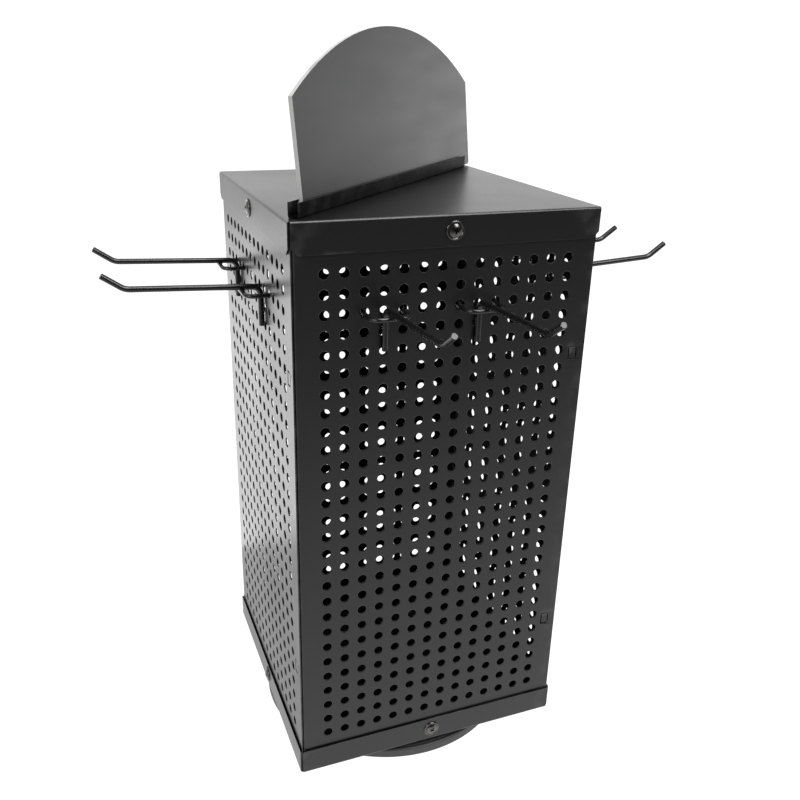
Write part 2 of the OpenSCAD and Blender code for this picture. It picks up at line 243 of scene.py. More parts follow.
def edges(nt, low, high):
    """1 on worn outer edges, 0 elsewhere."""
    geo = nt.nodes.new("ShaderNodeNewGeometry")
    return spread(nt, geo.outputs["Pointiness"], low, high, 0.0, 1.0)


def powder_coat(name, dark, light, rough, peel=0.2, wear=0.5, shine=0.5):
    """Black powder coat: orange peel, slow gloss changes, fine speckle and slightly rubbed edges."""
    mat, nt, bsdf, co = new_material(name)
    peel_h = noise(nt, co, 620.0, 3.0, 0.55)
    grain_h = noise(nt, co, 2600.0, 2.0, 0.6)
    slow = noise(nt, co, 9.0, 2.0)
    speck = spread(nt, grain_h, 0.35, 0.65, 0.0, 1.0)
    worn = times(nt, edges(nt, 0.51, 0.56), spread(nt, noise(nt, co, 90.0, 4.0), 0.45, 0.7, 0.0, wear))
    base = blend_colour(nt, speck, dark, light)
    nt.links.new(blend_colour(nt, worn, base, (0.10, 0.10, 0.102)), bsdf.inputs["Base Color"])
    slow_rough = spread(nt, slow, 0.3, 0.7, rough - 0.03, rough + 0.03)
    r = times(nt, slow_rough, spread(nt, peel_h, 0.3, 0.7, 0.94, 1.06))
    nt.links.new(times(nt, r, times(nt, worn, 0.08), "SUBTRACT"), bsdf.inputs["Roughness"])
    first = bump(nt, peel_h, peel, 0.00006)
    nt.links.new(bump(nt, grain_h, peel * 0.6, 0.000012, first), bsdf.inputs["Normal"])
    bsdf.inputs["IOR"].default_value = 1.5
    bsdf.inputs["Specular IOR Level"].default_value = shine
    return mat


def board_plastic(name, dark, light):
    """Satin plastic board: very fine grain, faint long smears and slightly polished edges."""
    mat, nt, bsdf, co = new_material(name)
    grain_h = noise(nt, co, 1900.0, 3.0, 0.6)
    smear_map = nt.nodes.new("ShaderNodeMapping")
    smear_map.inputs["Scale"].default_value = (1.0, 1.0, 5.0)
    nt.links.new(co, smear_map.inputs["Vector"])
    smear = noise(nt, smear_map.outputs["Vector"], 16.0, 3.0)
    speck = spread(nt, grain_h, 0.35, 0.65, 0.0, 1.0)
    worn = times(nt, edges(nt, 0.51, 0.58), 0.4)
    base = blend_colour(nt, speck, dark, light)
    nt.links.new(blend_colour(nt, worn, base, (0.12, 0.12, 0.122)), bsdf.inputs["Base Color"])
    nt.links.new(spread(nt, smear, 0.3, 0.7, 0.36, 0.42), bsdf.inputs["Roughness"])
    nt.links.new(bump(nt, grain_h, 0.12, 0.00003), bsdf.inputs["Normal"])
    bsdf.inputs["IOR"].default_value = 1.5
    return mat


def wire_enamel(name):
    """Gloss black dip coating on wire, with a few runs and rubbed high spots."""
    mat, nt, bsdf, co = new_material(name)
    runs = noise(nt, co, 130.0, 2.0)
    fine = noise(nt, co, 1500.0, 2.0)
    worn = times(nt, edges(nt, 0.54, 0.62), spread(nt, noise(nt, co, 200.0, 3.0), 0.5, 0.7, 0.0, 0.5))
    speck = spread(nt, fine, 0.3, 0.7, 0.0, 1.0)
    base = blend_colour(nt, speck, (0.004, 0.004, 0.0042), (0.007, 0.007, 0.0072))
    nt.links.new(blend_colour(nt, worn, base, (0.22, 0.22, 0.22)), bsdf.inputs["Base Color"])
    nt.links.new(spread(nt, runs, 0.3, 0.7, 0.20, 0.30), bsdf.inputs["Roughness"])
    first = bump(nt, runs, 0.25, 0.0001)
    nt.links.new(bump(nt, fine, 0.1, 0.00002, first), bsdf.inputs["Normal"])
    bsdf.inputs["IOR"].default_value = 1.5
    return mat


def plated(name, dark, light, rough, brushed=0.0, stretch=(1.0, 1.0, 1.0), wear=0.3):
    """Plated metal: cloudy tone, fine scratches and brighter edges."""
    mat, nt, bsdf, co = new_material(name)
    lay = nt.nodes.new("ShaderNodeMapping")
    lay.inputs["Scale"].default_value = stretch
    nt.links.new(co, lay.inputs["Vector"])
    lines = noise(nt, lay.outputs["Vector"], 900.0, 3.0, 0.6)
    cloud = noise(nt, co, 60.0, 3.0)
    base = blend_colour(nt, spread(nt, cloud, 0.3, 0.7, 0.0, 1.0), dark, light)
    worn = times(nt, edges(nt, 0.52, 0.6), wear)
    bright = tuple(min(1.0, 1.35 * v) for v in light)
    nt.links.new(blend_colour(nt, worn, base, bright), bsdf.inputs["Base Color"])
    bsdf.inputs["Metallic"].default_value = 1.0
    nt.links.new(spread(nt, lines, 0.3, 0.7, rough - 0.05, rough + 0.07), bsdf.inputs["Roughness"])
    nt.links.new(bump(nt, lines, 0.1 + brushed, 0.00002), bsdf.inputs["Normal"])
    return mat


def rubber(name):
    """Dull black rubber with a fine grain and some dust."""
    mat, nt, bsdf, co = new_material(name)
    grain_h = noise(nt, co, 1100.0, 4.0, 0.65)
    dust = spread(nt, noise(nt, co, 60.0, 3.0), 0.45, 0.75, 0.0, 1.0)
    tone = blend_colour(nt, dust, (0.022, 0.022, 0.022), (0.05, 0.048, 0.045))
    nt.links.new(tone, bsdf.inputs["Base Color"])
    nt.links.new(spread(nt, grain_h, 0.3, 0.7, 0.7, 0.9), bsdf.inputs["Roughness"])
    nt.links.new(bump(nt, grain_h, 0.4, 0.0001), bsdf.inputs["Normal"])
    return mat


COAT = powder_coat("powder_coat", (0.003, 0.003, 0.0032), (0.0048, 0.0048, 0.005), 0.33)
# Painted shade: a darker, nearly unreflective copy of the powder coat for inside faces and raw edges, so they
# render black.
COAT_SHADE = powder_coat(
    "powder_coat_painted_shade", (0.0025, 0.0025, 0.0026), (0.004, 0.004, 0.0042), 0.5, peel=0.3, wear=0.2, shine=0.02
)
COAT_MATT = powder_coat(
    "powder_coat_matt", (0.003, 0.003, 0.0031), (0.005, 0.005, 0.0052), 0.42, peel=0.25, wear=0.3, shine=0.03
)
COAT_BASE = powder_coat(
    "powder_coat_base", (0.026, 0.026, 0.0265), (0.04, 0.04, 0.0405), 0.5, peel=0.35, wear=0.3
)
BOARD = board_plastic("sign_board", (0.006, 0.006, 0.0063), (0.010, 0.010, 0.0103))
# Painted light: the board's edges are coloured light grey to stand for the light they catch from the
# front-left.
BOARD_EDGE_PAINTED_LIGHT = board_plastic("sign_board_edge_painted_light", (0.40, 0.397, 0.39), (0.5, 0.497, 0.49))
WIRE = wire_enamel("hook_wire")
NICKEL = plated("black_nickel", (0.085, 0.083, 0.08), (0.13, 0.127, 0.122), 0.2)
ZINC = plated("zinc_steel", (0.50, 0.51, 0.53), (0.66, 0.67, 0.68), 0.34, 0.15, (1.0, 12.0, 1.0))
# Black oxide for the nuts and bearing screws, also used as painted shade inside the screws' cross recesses.
OXIDE_AND_SHADE = plated("black_oxide_and_recess_shade", (0.012, 0.012, 0.012), (0.02, 0.02, 0.02), 0.45)
BALL = plated("bearing_steel", (0.70, 0.70, 0.71), (0.80, 0.80, 0.80), 0.16)
RUBBER = rubber("rubber")


# ---------------------------------------------------------------- perforated panels
def panel_mesh():
    """The front panel: a perforated face, a rounded fold on its left, a return and two tabs."""
    verts, faces, index = [], [], {}

    def vert(x, y, z):
        key = (round(x * 1000), round(y * 1000), round(z * 1000))
        if key not in index:
            index[key] = len(verts)
            verts.append((x, y, z))
        return index[key]

    # each hole sits in a square cell, whose edge has as many points as the hole's ring
    sub = 6
    count = 4 * sub
    collar = HOLE_R + 0.8
    step = PITCH / sub
    x0, z0 = -COLS / 2 * PITCH, Z_FIELD - ROWS / 2 * PITCH
    nx, nz = COLS * sub, ROWS * sub
    ring = [math.radians(-135 + 360 * i / count) for i in range(count)]
    square = []
    for i in range(count):
        side, k = divmod(i, sub)
        t = k * step - PITCH / 2
        square.append(((t, -PITCH / 2), (PITCH / 2, t), (-t, PITCH / 2), (-PITCH / 2, -t))[side])
    for c in range(COLS):
        for r in range(ROWS):
            cx, cz = x0 + (c + 0.5) * PITCH, z0 + (r + 0.5) * PITCH
            outer = [vert(cx + u, -HALF, cz + w) for u, w in square]
            near = [vert(cx + collar * math.cos(a), -HALF, cz + collar * math.sin(a)) for a in ring]
            inner = [vert(cx + HOLE_R * math.cos(a), -HALF, cz + HOLE_R * math.sin(a)) for a in ring]
            for i in range(count):
                j = (i + 1) % count
                faces.append((outer[i], outer[j], near[j], near[i]))
                faces.append((near[i], near[j], inner[j], inner[i]))
    xs = [x0 + i * step for i in range(nx + 1)]
    zs = [z0 + i * step for i in range(nz + 1)]
    x_left = -FOLD_X + PANEL_FOLD_R
    # strips above and below the holes
    for lo, hi in ((PANEL_Z0, zs[0]), (zs[-1], PANEL_Z1)):
        for a, b in zip([x_left] + xs, xs + [RAW_EDGE]):
            faces.append(tuple(vert(x, -HALF, z) for x, z in ((a, lo), (b, lo), (b, hi), (a, hi))))
    # left margin, fold and return
    profile = [(xs[0], -HALF), (x_left, -HALF)]
    profile += arc(x_left, -HALF + PANEL_FOLD_R, PANEL_FOLD_R, 270, 180, 6)[1:]
    profile += [(-FOLD_X, -HALF + RETURN_W)]
    levels = [PANEL_Z0] + zs + [PANEL_Z1]
    for (xa, ya), (xb, yb) in zip(profile, profile[1:]):
        for lo, hi in zip(levels, levels[1:]):
            if (xa, xb) == (xs[0], x_left) and (lo == PANEL_Z0 or hi == PANEL_Z1):
                continue
            faces.append((vert(xa, ya, lo), vert(xb, yb, lo), vert(xb, yb, hi), vert(xa, ya, hi))[::-1])
    # right margin with its two slots
    busy = []
    for zc in SLOT_Z:
        lo = max(z for z in zs if z < zc - SLOT_H / 2 - 1.5)
        hi = min(z for z in zs if z > zc + SLOT_H / 2 + 1.5)
        busy.append((lo, hi))
        left = [z for z in zs if lo <= z <= hi]
        rim = [(xs[-1], z) for z in reversed(left)] + [(RAW_EDGE, z) for z in left]
        cut = [(SLOT_U - SLOT_W / 2, zc - SLOT_H / 2)]
        cut += arc(SLOT_U + SLOT_W / 2 - SLOT_R, zc - SLOT_H / 2 + SLOT_R, SLOT_R, -90, 0, 8)
        cut += arc(SLOT_U + SLOT_W / 2 - SLOT_R, zc + SLOT_H / 2 - SLOT_R, SLOT_R, 0, 90, 8)
        cut += [(SLOT_U - SLOT_W / 2, zc + SLOT_H / 2)]
        rings = [[Vector((x, z, 0)) for x, z in rim], [Vector((x, z, 0)) for x, z in cut]]
        flat = [p for loop in (rim, cut) for p in loop]
        for tri in tessellate_polygon(rings):
            a, b, c = (Vector(flat[i]) for i in tri)
            if (b - a).cross(c - a) < 0:
                tri = tri[::-1]
            faces.append(tuple(vert(flat[i][0], -HALF, flat[i][1]) for i in tri))
    for lo, hi in zip(zs, zs[1:]):
        if not any(b0 <= lo and hi <= b1 for b0, b1 in busy):
            corners = ((xs[-1], lo), (RAW_EDGE, lo), (RAW_EDGE, hi), (xs[-1], hi))
            faces.append(tuple(vert(x, -HALF, z) for x, z in corners))
    sheet_mesh = finished(mesh_from("panel_sheet", verts, faces), SHEET, 0.42, 2)
    # tabs that stand in the slots of the panel on the left
    tab_verts, tab_faces = [], []
    for zc in SLOT_Z:
        low = (-HALF + 0.1, -SLOT_U - TAB_W / 2, zc - TAB_H / 2)
        high = (-FOLD_X + 0.2, -SLOT_U + TAB_W / 2, zc + TAB_H / 2)
        box_into(tab_verts, tab_faces, low, high)
    tabs = finished(mesh_from("panel_tabs", tab_verts, tab_faces), 0.0, 0.3, 3)
    return joined("panel", [sheet_mesh, tabs])


def box_into(verts, faces, low, high):
    """Adds a box between two opposite corners to lists of points and faces."""
    n = len(verts)
    for z in (low[2], high[2]):
        verts += [(low[0], low[1], z), (high[0], low[1], z), (high[0], high[1], z), (low[0], high[1], z)]
    for f in ((3, 2, 1, 0), (4, 5, 6, 7), (0, 1, 5, 4), (1, 2, 6, 5), (2, 3, 7, 6), (3, 0, 4, 7)):
        faces.append(tuple(n + i for i in f))


def joined(name, meshes, turns=None):
    """One mesh from several, each with its own transform."""
    bm = bmesh.new()
    for i, m in enumerate(meshes):
        part = m.copy()
        if turns is not None:
            part.transform(turns[i])
        bm.from_mesh(part)
        bpy.data.meshes.remove(part)
    out = bpy.data.meshes.new(name)
    bm.to_mesh(out)
    bm.free()
    return out


# The inside face of each panel gets the painted-shade coat.
PANEL = second_material(panel_mesh(), lambda p: p.normal.y > 0.7)
for k, name in enumerate(SIDES):
    mesh = PANEL.copy()
    mesh.transform(turned(k))
    panel = add_object("panel_" + name + "_sheet", mesh)
    flat_normals(panel)
    place(panel, "tower", "panel_" + name, "powder_coat", COAT, COAT_SHADE)


# ---------------------------------------------------------------- cap and tray
def cover_mesh(name, clip):
    """A square cover with its face at z = 0 and a flange folded down from each edge, corners clipped."""
    verts, faces = [], []
    e = CAP_HALF - FOLD_R
    n = 12
    grid = [-e + 2 * e * i / n for i in range(n + 1)]
    for y in grid:
        for x in grid:
            verts.append((x, y, 0.0))
    for j in range(n):
        for i in range(n):
            a = j * (n + 1) + i
            faces.append((a, a + 1, a + n + 2, a + n + 1))
    fold = arc(-e, -FOLD_R, FOLD_R, 90, 180, 6)
    profile = fold + [(-CAP_HALF, -FLANGE_H + clip)]
    for k in range(4):
        spin = turned(k)

        def put(x, y, z):
            verts.append(tuple(spin @ Vector((x, y, z))))
            return len(verts) - 1

        rows = [[put(x, y, z) for x in grid] for y, z in profile]
        # lower strip with clipped and slightly rounded corners
        low = [-FLANGE_H + clip * t for t in (0.0, 0.06, 0.5, 0.94)]
        for z, cut in zip(reversed(low), (0.03, 0.5, 0.9, 1.08)):
            rows.append([put(max(-e + clip * cut, min(e - clip * cut, x)), -CAP_HALF, z) for x in grid])
        for ra, rb in zip(rows, rows[1:]):
            for i in range(n):
                faces.append((ra[i], rb[i], rb[i + 1], ra[i + 1]))
    mesh = welded(mesh_from(name, verts, faces), 0.01)
    # downward faces, the cover's inside and its raw flange edges, get the painted-shade coat
    return second_material(finished(mesh, SHEET, 0.14, 2, 55.0), lambda p: p.normal.z < -0.5)


cap_sheet = cover_mesh("cap", CAP_CLIP)
cap_sheet.transform(Matrix.Translation((0, 0, Z_TOP * MM)))
cap = add_object("top_cap_sheet", cap_sheet)
flat_normals(cap)
place(cap, "tower", "top_cap", "powder_coat", COAT, COAT_SHADE)
tray_sheet = cover_mesh("tray", TRAY_CLIP)
tray_sheet.transform(Matrix.Translation((0, 0, Z_TRAY * MM)) @ Matrix.Rotation(math.pi, 4, "X"))
tray = add_object("bottom_tray_sheet", tray_sheet)
flat_normals(tray)
place(tray, "tower", "bottom_tray", "powder_coat", COAT, COAT_SHADE)


# ---------------------------------------------------------------- turned parts
def lathe(name, profile, segments=96, closed=True):
    """Turns a profile of (radius, height) about Z. An open profile starts and ends on the axis."""
    verts, faces = [], []
    n = len(profile)
    for s in range(segments):
        a = 2 * math.pi * s / segments
        verts += [(r * math.cos(a), r * math.sin(a), z) for r, z in profile]
    for s in range(segments):
        t = (s + 1) % segments
        for i in range(n if closed else n - 1):
            j = (i + 1) % n
            faces.append((s * n + i, t * n + i, t * n + j, s * n + j))
    mesh = welded(mesh_from(name, verts, faces), 0.002)
    bm = bmesh.new()
    bm.from_mesh(mesh)
    bmesh.ops.dissolve_degenerate(bm, edges=bm.edges, dist=1e-7)
    bmesh.ops.recalc_face_normals(bm, faces=bm.faces)
    bm.to_mesh(mesh)
    bm.free()
    return mesh


def base_mesh():
    """Shallow pressed pan with a rounded rim, a groove just inside it and a centre hole."""
    h, floor_h, rim, ease = Z_BASE, Z_BASE - BASE_T, FOLD_R, 0.25
    hole, hole_ease = BASE_HOLE_R, 0.15
    skirt = BASE_R - BASE_T
    groove = ((4.2, 0.0), (3.7, 0.1), (3.3, 0.7), (2.7, 0.7), (2.3, 0.1), (2.0, 0.0))
    top = [(hole, h - hole_ease), (hole + hole_ease, h)]
    top += [(BASE_R - inset, h - depth) for inset, depth in groove]
    outer = arc(BASE_R - rim, h - rim, rim, 90, 0, 6)
    lower = [(BASE_R, Z_RIM + ease), (BASE_R - ease, Z_RIM), (skirt + ease, Z_RIM), (skirt, Z_RIM + ease)]
    under = [(skirt, floor_h), (hole + hole_ease, floor_h), (hole, floor_h + hole_ease)]
    return smooth(lathe("base_pan", top + outer + lower + under, 160), 40)


base = add_object("base_plate_pan", base_mesh())
flat_normals(base)
place(base, "base", "base_plate", "powder_coat", COAT_BASE)


def foot_mesh():
    """Rubber foot with a pad ring below, a waist above it and a hole for its screw."""
    top = Z_BASE - BASE_T
    profile = [(2.2, 4.0), (3.8, 4.0), (3.8, 0.3), (4.1, 0.0)]
    profile += [(7.0, 0.0), (7.2, 0.15), (7.6, 0.15), (7.8, 0.0)]
    profile += arc(7.5, 0.8, 0.8, -90, -8, 5)[1:]
    profile += [(8.6, 3.0), (8.45, 3.25), (8.65, 3.5), (8.9, top - 0.3), (8.7, top), (2.2, top)]
    return smooth(lathe("foot", profile, 48), 40)


def at_corners(mesh, d, name):
    turns = [Matrix.Translation((x * MM, y * MM, 0)) for x in (-d, d) for y in (-d, d)]
    return joined(name, [mesh] * 4, turns)


feet = add_object("base_feet_rubber", at_corners(foot_mesh(), FOOT_CIRCLE_R / math.sqrt(2), "feet"))
place(feet, "base", "base_feet", "rubber", RUBBER)


# ---------------------------------------------------------------- screws
def cutter(length, width, depth, taper):
    """A tapered bar for pressing one arm of a cross recess, top face at z = 0.5."""
    verts = []
    for z, s in ((-depth, taper), (0.5, 1.05)):
        x, y = length / 2 * s, width / 2 * (0.75 + 0.25 * s)
        verts += [(-x, -y, z), (x, -y, z), (x, y, z), (-x, y, z)]
    faces = [(3, 2, 1, 0), (4, 5, 6, 7), (0, 1, 5, 4), (1, 2, 6, 5), (2, 3, 7, 6), (3, 0, 4, 7)]
    return mesh_from("cutter", verts, faces)


def cross_cut(mesh, length, width, depth, top):
    """Presses a cross recess into the top of a head."""
    obj = add_object("work", mesh)
    bars = []
    for a in (0, 90):
        bar = add_object("bar", cutter(length, width, depth, 0.45))
        bar.matrix_world = Matrix.Translation((0, 0, top * MM)) @ Matrix.Rotation(math.radians(a), 4, "Z")
        bars.append(bar)
        mod = obj.modifiers.new("recess", "BOOLEAN")
        mod.operation = "DIFFERENCE"
        mod.solver = "EXACT"
        mod.object = bar
    bpy.context.view_layer.update()
    graph = bpy.context.evaluated_depsgraph_get()
    made = bpy.data.meshes.new_from_object(obj.evaluated_get(graph))
    for o in [obj] + bars:
        bpy.data.objects.remove(o)
    return smooth(made, 32)


def cover_screw_mesh():
    """Washer-head cross-recess screw along +Z, seat at z = 0."""
    top = WASHER_T + DOME_H
    dome_edge = math.degrees(math.asin(DOME_R / DOME_CURVE))
    dome = arc(0.0, top - DOME_CURVE, DOME_CURVE, 90 - dome_edge, 90, 8)
    dome[-1] = (0.0, top)
    tip = 0.4
    profile = [(0.0, -SHANK_L), (SHANK_R - tip, -SHANK_L), (SHANK_R, tip - SHANK_L), (SHANK_R, 0.0)]
    profile += [(WASHER_R - 0.15, 0.0), (WASHER_R, 0.15)]
    # the washer's rounded bead, then the valley between it and the dome
    profile += arc(WASHER_R - 0.7, 0.3, 0.7, 12, 150, 10)
    profile += [(4.5, 0.52), (DOME_R - 0.05, 0.6), (DOME_R, 0.75)] + dome
    turned_part = lathe("cover_screw", profile, 64, closed=False)
    return cross_cut(turned_part, RECESS_L, RECESS_W, RECESS_DEPTH, top)


def in_recess(p):
    """True for the faces pressed into a screw's dome, which get a dark painted shade."""
    r = math.hypot(p.center.x, p.center.y) / MM
    z = p.center.z / MM
    if r > RECESS_L / 2 + 0.15:
        return False
    dome_z = WASHER_T + DOME_H - DOME_CURVE + math.sqrt(DOME_CURVE**2 - r * r)
    return 0.3 < z < dome_z - 0.12


# The recess faces get the dark coat as painted shade.
SCREW = second_material(cover_screw_mesh(), in_recess)


def side_screws(name, node, z):
    """Four screws, one in the middle of each flange, at height z."""
    turns = []
    for k in range(4):
        seat = Matrix.Translation((0, -CAP_HALF * MM, z * MM)) @ Matrix.Rotation(math.radians(90), 4, "X")
        lean = Matrix.Rotation(math.radians(SCREW_LEANS[k] + z), 4, "Z")
        turns.append(turned(k) @ seat @ lean)
    obj = add_object(name, joined(name, [SCREW] * 4, turns))
    place(obj, "tower", node, "black_nickel", NICKEL, OXIDE_AND_SHADE)


side_screws("cap_screws_set", "cap_screws", Z_TOP - SCREW_INSET)
side_screws("tray_screws_set", "tray_screws", Z_TRAY + SCREW_INSET)


# ---------------------------------------------------------------- sign and holder
ON_HOLDER = Matrix.Translation((0, 0, Z_TOP * MM)) @ Matrix.Rotation(math.radians(HOLDER_YAW), 4, "Z")
LEAN = math.radians(SIGN_LEAN)
HOLDER_W = SIGN_T / math.cos(LEAN) + (HOLDER_H - HOLDER_T) * math.tan(LEAN) + 2 * (HOLDER_T + SIGN_GAP)


def holder_mesh():
    """Open-ended channel along X, folded from thin sheet."""
    w = HOLDER_W / 2
    section = [(w, HOLDER_H), (w, HOLDER_R)] + arc(w - HOLDER_R, HOLDER_R, HOLDER_R, 0, -90, 5)[1:]
    section += arc(-w + HOLDER_R, HOLDER_R, HOLDER_R, -90, -180, 5) + [(-w, HOLDER_H)]
    n = 24
    xs = [HOLDER_SHIFT - HOLDER_L / 2 + HOLDER_L * i / n for i in range(n + 1)]
    verts = [(x, y, z) for x in xs for y, z in section]
    m = len(section)
    faces = []
    for i in range(n):
        for j in range(m - 1):
            a = i * m + j
            faces.append((a, a + 1, a + m + 1, a + m))
    mesh = mesh_from("holder", verts, faces)
    return finished(mesh, HOLDER_T, 0.16, 2, 55.0)


def on_lip(p):
    """True for the raw upper edges of the holder."""
    return p.normal.z > 0.7 and p.center.z > 0.5 * HOLDER_H * MM


holder_sheet = second_material(holder_mesh(), on_lip)
holder_sheet.transform(ON_HOLDER)
holder = add_object("sign_holder_channel", holder_sheet)
flat_normals(holder)
place(holder, "tower", "sign_holder", "powder_coat", COAT_MATT, COAT)


def sign_mesh():
    """Board with straight sides, an arched top and rounded lower corners, front face at y = 0."""
    w = SIGN_W / 2
    rise = SIGN_MID - SIGN_SIDE
    r = (w * w + rise * rise) / (2 * rise)
    half_angle = math.degrees(math.asin(w / r))
    line = arc(-w + SIGN_CORNER, SIGN_CORNER, SIGN_CORNER, 180, 270, 6)
    line += arc(w - SIGN_CORNER, SIGN_CORNER, SIGN_CORNER, 270, 360, 6)
    line += arc(0, SIGN_MID - r, r, 90 - half_angle, 90 + half_angle, 72)
    verts = [(x, 0.0, z) for x, z in line]
    mesh = mesh_from("sign", verts, [tuple(range(len(verts)))])
    return finished(mesh, SIGN_T, 0.3, 3, 40.0)


# The board's edge faces get the light-grey painted-light material.
sign_board = second_material(sign_mesh(), lambda p: abs(p.normal.y) < 0.3)
front_y = -HOLDER_W / 2 + HOLDER_T + SIGN_GAP
foot_z = HOLDER_T + SIGN_GAP + SIGN_T * math.sin(LEAN)
foot = Matrix.Translation((SIGN_SHIFT * MM, front_y * MM, foot_z * MM))
sign_board.transform(ON_HOLDER @ foot @ Matrix.Rotation(-LEAN, 4, "X"))
sign = add_object("sign_board", sign_board)
flat_normals(sign)
place(sign, "sign", "sign_panel", "sign_board", BOARD, BOARD_EDGE_PAINTED_LIGHT)


# ---------------------------------------------------------------- hooks
def wire_mesh(name, moves, radius, start, ring):
    """Sweeps a round wire. Each move is (straight run, roll before the bend, bend angle, bend radius)."""
    frames = []
    here = start.copy()

    def note(m, scale=1.0):
        frames.append((m.copy(), scale))

    chamfer = 0.35
    note(here, (radius - chamfer) / radius)
    note(here @ Matrix.Translation((chamfer, 0, 0)))
    for k, move in enumerate(moves):
        run = move[0]
        last = k == len(moves) - 1
        here = here @ Matrix.Translation((run - (chamfer if last else 0), 0, 0))
        note(here)
        if last:
            note(here @ Matrix.Translation((chamfer, 0, 0)), (radius - chamfer) / radius)
            break
        _, roll, bend, rad = move
        here = here @ Matrix.Rotation(math.radians(roll), 4, "X")
        steps = max(4, round(bend / 7))
        for i in range(1, steps + 1):
            a = math.radians(bend * i / steps)
            shift = Matrix.Translation((rad * math.sin(a), rad * (1 - math.cos(a)), 0))
            turn = shift @ Matrix.Rotation(a, 4, "Z")
            note(here @ turn)
        here = here @ turn
    verts, faces = [], []
    side = None
    for m, scale in frames:
        # the ring's own zero direction is carried along without twist
        along = (m.to_3x3() @ Vector((1, 0, 0))).normalized()
        if side is None:
            side = (m.to_3x3() @ Vector((0, 1, 0))).normalized()
        side = (side - along * side.dot(along)).normalized()
        other = along.cross(side)
        centre = m.to_translation()
        for i in range(ring):
            a = 2 * math.pi * i / ring
            verts.append(tuple(centre + (side * math.cos(a) + other * math.sin(a)) * radius * scale))
    for k in range(len(frames) - 1):
        for i in range(ring):
            j = (i + 1) % ring
            faces.append((k * ring + i, k * ring + j, (k + 1) * ring + j, (k + 1) * ring + i))
    faces.append(tuple(reversed(range(ring))))
    faces.append(tuple((len(frames) - 1) * ring + i for i in range(ring)))
    return smooth(mesh_from(name, verts, faces), 40)


def row_z(r):
    """Height of a row of holes, counted from the top."""
    return Z_FIELD + ((ROWS - 1) / 2 - r) * PITCH


def col_u(c):
    """Place of a column of holes along the panel, counted from the left."""
    return (c - (COLS - 1) / 2) * PITCH


def hook_meshes(c):
    """The arm wire and the bracket wire of a hook on the front panel, centred on column c."""
    z_hook = row_z(HOOK_ROW)
    rise, tip = math.radians(ARM_RISE), math.radians(TIP_ANGLE)
    cross_z = PRONG_R + ARM_R - BAR_DROP - WELD_BITE
    out = ARM_GAP + ARM_R + ARM_BEND * (1 - math.sin(rise))
    leg = LEG_REACH + cross_z - ARM_BEND * math.cos(rise) - (BAR_OUT - out) * math.tan(rise)
    tip_out = TIP_RUN * math.cos(tip) + TIP_BEND * (math.sin(tip) - math.sin(rise))
    run = (ARM_REACH - out - tip_out) / math.cos(rise)
    start = Matrix.Translation((col_u(c), -HALF - ARM_GAP - ARM_R, z_hook - LEG_REACH))
    start = start @ Matrix.Rotation(math.radians(-90), 4, "Y") @ Matrix.Rotation(math.pi, 4, "X")
    moves = [(leg, 0, 90 - ARM_RISE, ARM_BEND), (run, 180, TIP_ANGLE - ARM_RISE, TIP_BEND), (TIP_RUN,)]
    arm = wire_mesh("arm", moves, ARM_R, start, 28)
    # the bracket runs from one prong along the cross bar to the other
    straight = BAR_OUT - BAR_BEND + PRONG_IN
    at = (col_u(c) - PITCH, -HALF + PRONG_IN + PRONG_BEND, z_hook - BAR_DROP + PRONG_BEND + PRONG_RUN)
    start = Matrix.Translation(at)
    start = start @ Matrix.Rotation(math.radians(90), 4, "Y") @ Matrix.Rotation(math.pi, 4, "X")
    moves = [(PRONG_RUN, 0, 90, PRONG_BEND), (straight, -90, 90, BAR_BEND)]
    moves += [(2 * (PITCH - BAR_BEND), 0, 90, BAR_BEND), (straight, 90, 90, PRONG_BEND), (PRONG_RUN,)]
    bracket = wire_mesh("bracket", moves, PRONG_R, start, 20)
    weld = weld_mesh(Vector((col_u(c), -HALF - BAR_OUT, z_hook - BAR_DROP + PRONG_R - WELD_BITE / 2)))
    return arm, joined("bracket", [bracket, weld])


def weld_mesh(at):
    """A low bead of weld metal along both sides of the arm, where it rests on the cross bar."""
    verts, faces = [], []
    n, m = 14, 8
    for s in (-1, 1):
        base_i = len(verts)
        for i in range(n + 1):
            t = i / n
            y = (t - 0.5) * 3.4
            swell = math.sqrt(max(0.0, 1 - (2 * t - 1) ** 2)) * (0.85 + 0.12 * math.sin(9.0 * t + s))
            for j in range(m):
                a = 2 * math.pi * j / m
                x = s * (0.95 + 0.15 * swell) + 0.75 * swell * math.cos(a)
                verts.append((at.x + x, at.y + y, at.z - 0.05 + 0.62 * swell * math.sin(a)))
        for i in range(n):
            for j in range(m):
                k = (j + 1) % m
                a, b = base_i + i * m, base_i + (i + 1) * m
                faces.append((a + j, a + k, b + k, b + j))
    mesh = welded(mesh_from("weld", verts, faces), 0.02)
    bm = bmesh.new()
    bm.from_mesh(mesh)
    bmesh.ops.recalc_face_normals(bm, faces=bm.faces)
    bm.to_mesh(mesh)
    bm.free()
    return smooth(mesh, 60)


for k, side_name in enumerate(SIDES):
    for letter, column in zip("ab", HOOK_COLS[side_name]):
        tag = side_name + "_" + letter
        for part, mesh in zip(("arm", "bracket"), hook_meshes(column)):
            mesh.transform(turned(k))
            wire = add_object("hook_" + part + "_" + tag + "_wire", mesh)
            place(wire, "hook_" + tag, "hook_" + part + "_" + tag, "hook_wire", WIRE)


# ---------------------------------------------------------------- CAD nodes that keep their own shape
for node, material in (
    ("foot_screws", ZINC),
    ("base_screws", ZINC),
    ("bearing_lower_plate", ZINC),
    ("bearing_upper_plate", ZINC),
    ("bearing_retainer", ZINC),
    ("bearing_balls", BALL),
    ("tray_bearing_screws", OXIDE_AND_SHADE),
    ("cap_nuts", OXIDE_AND_SHADE),
    ("tray_nuts", OXIDE_AND_SHADE),
):
    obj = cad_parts[node]
    if not obj.material_slots:
        obj.data.materials.append(material)
    for s in obj.material_slots:
        s.material = material


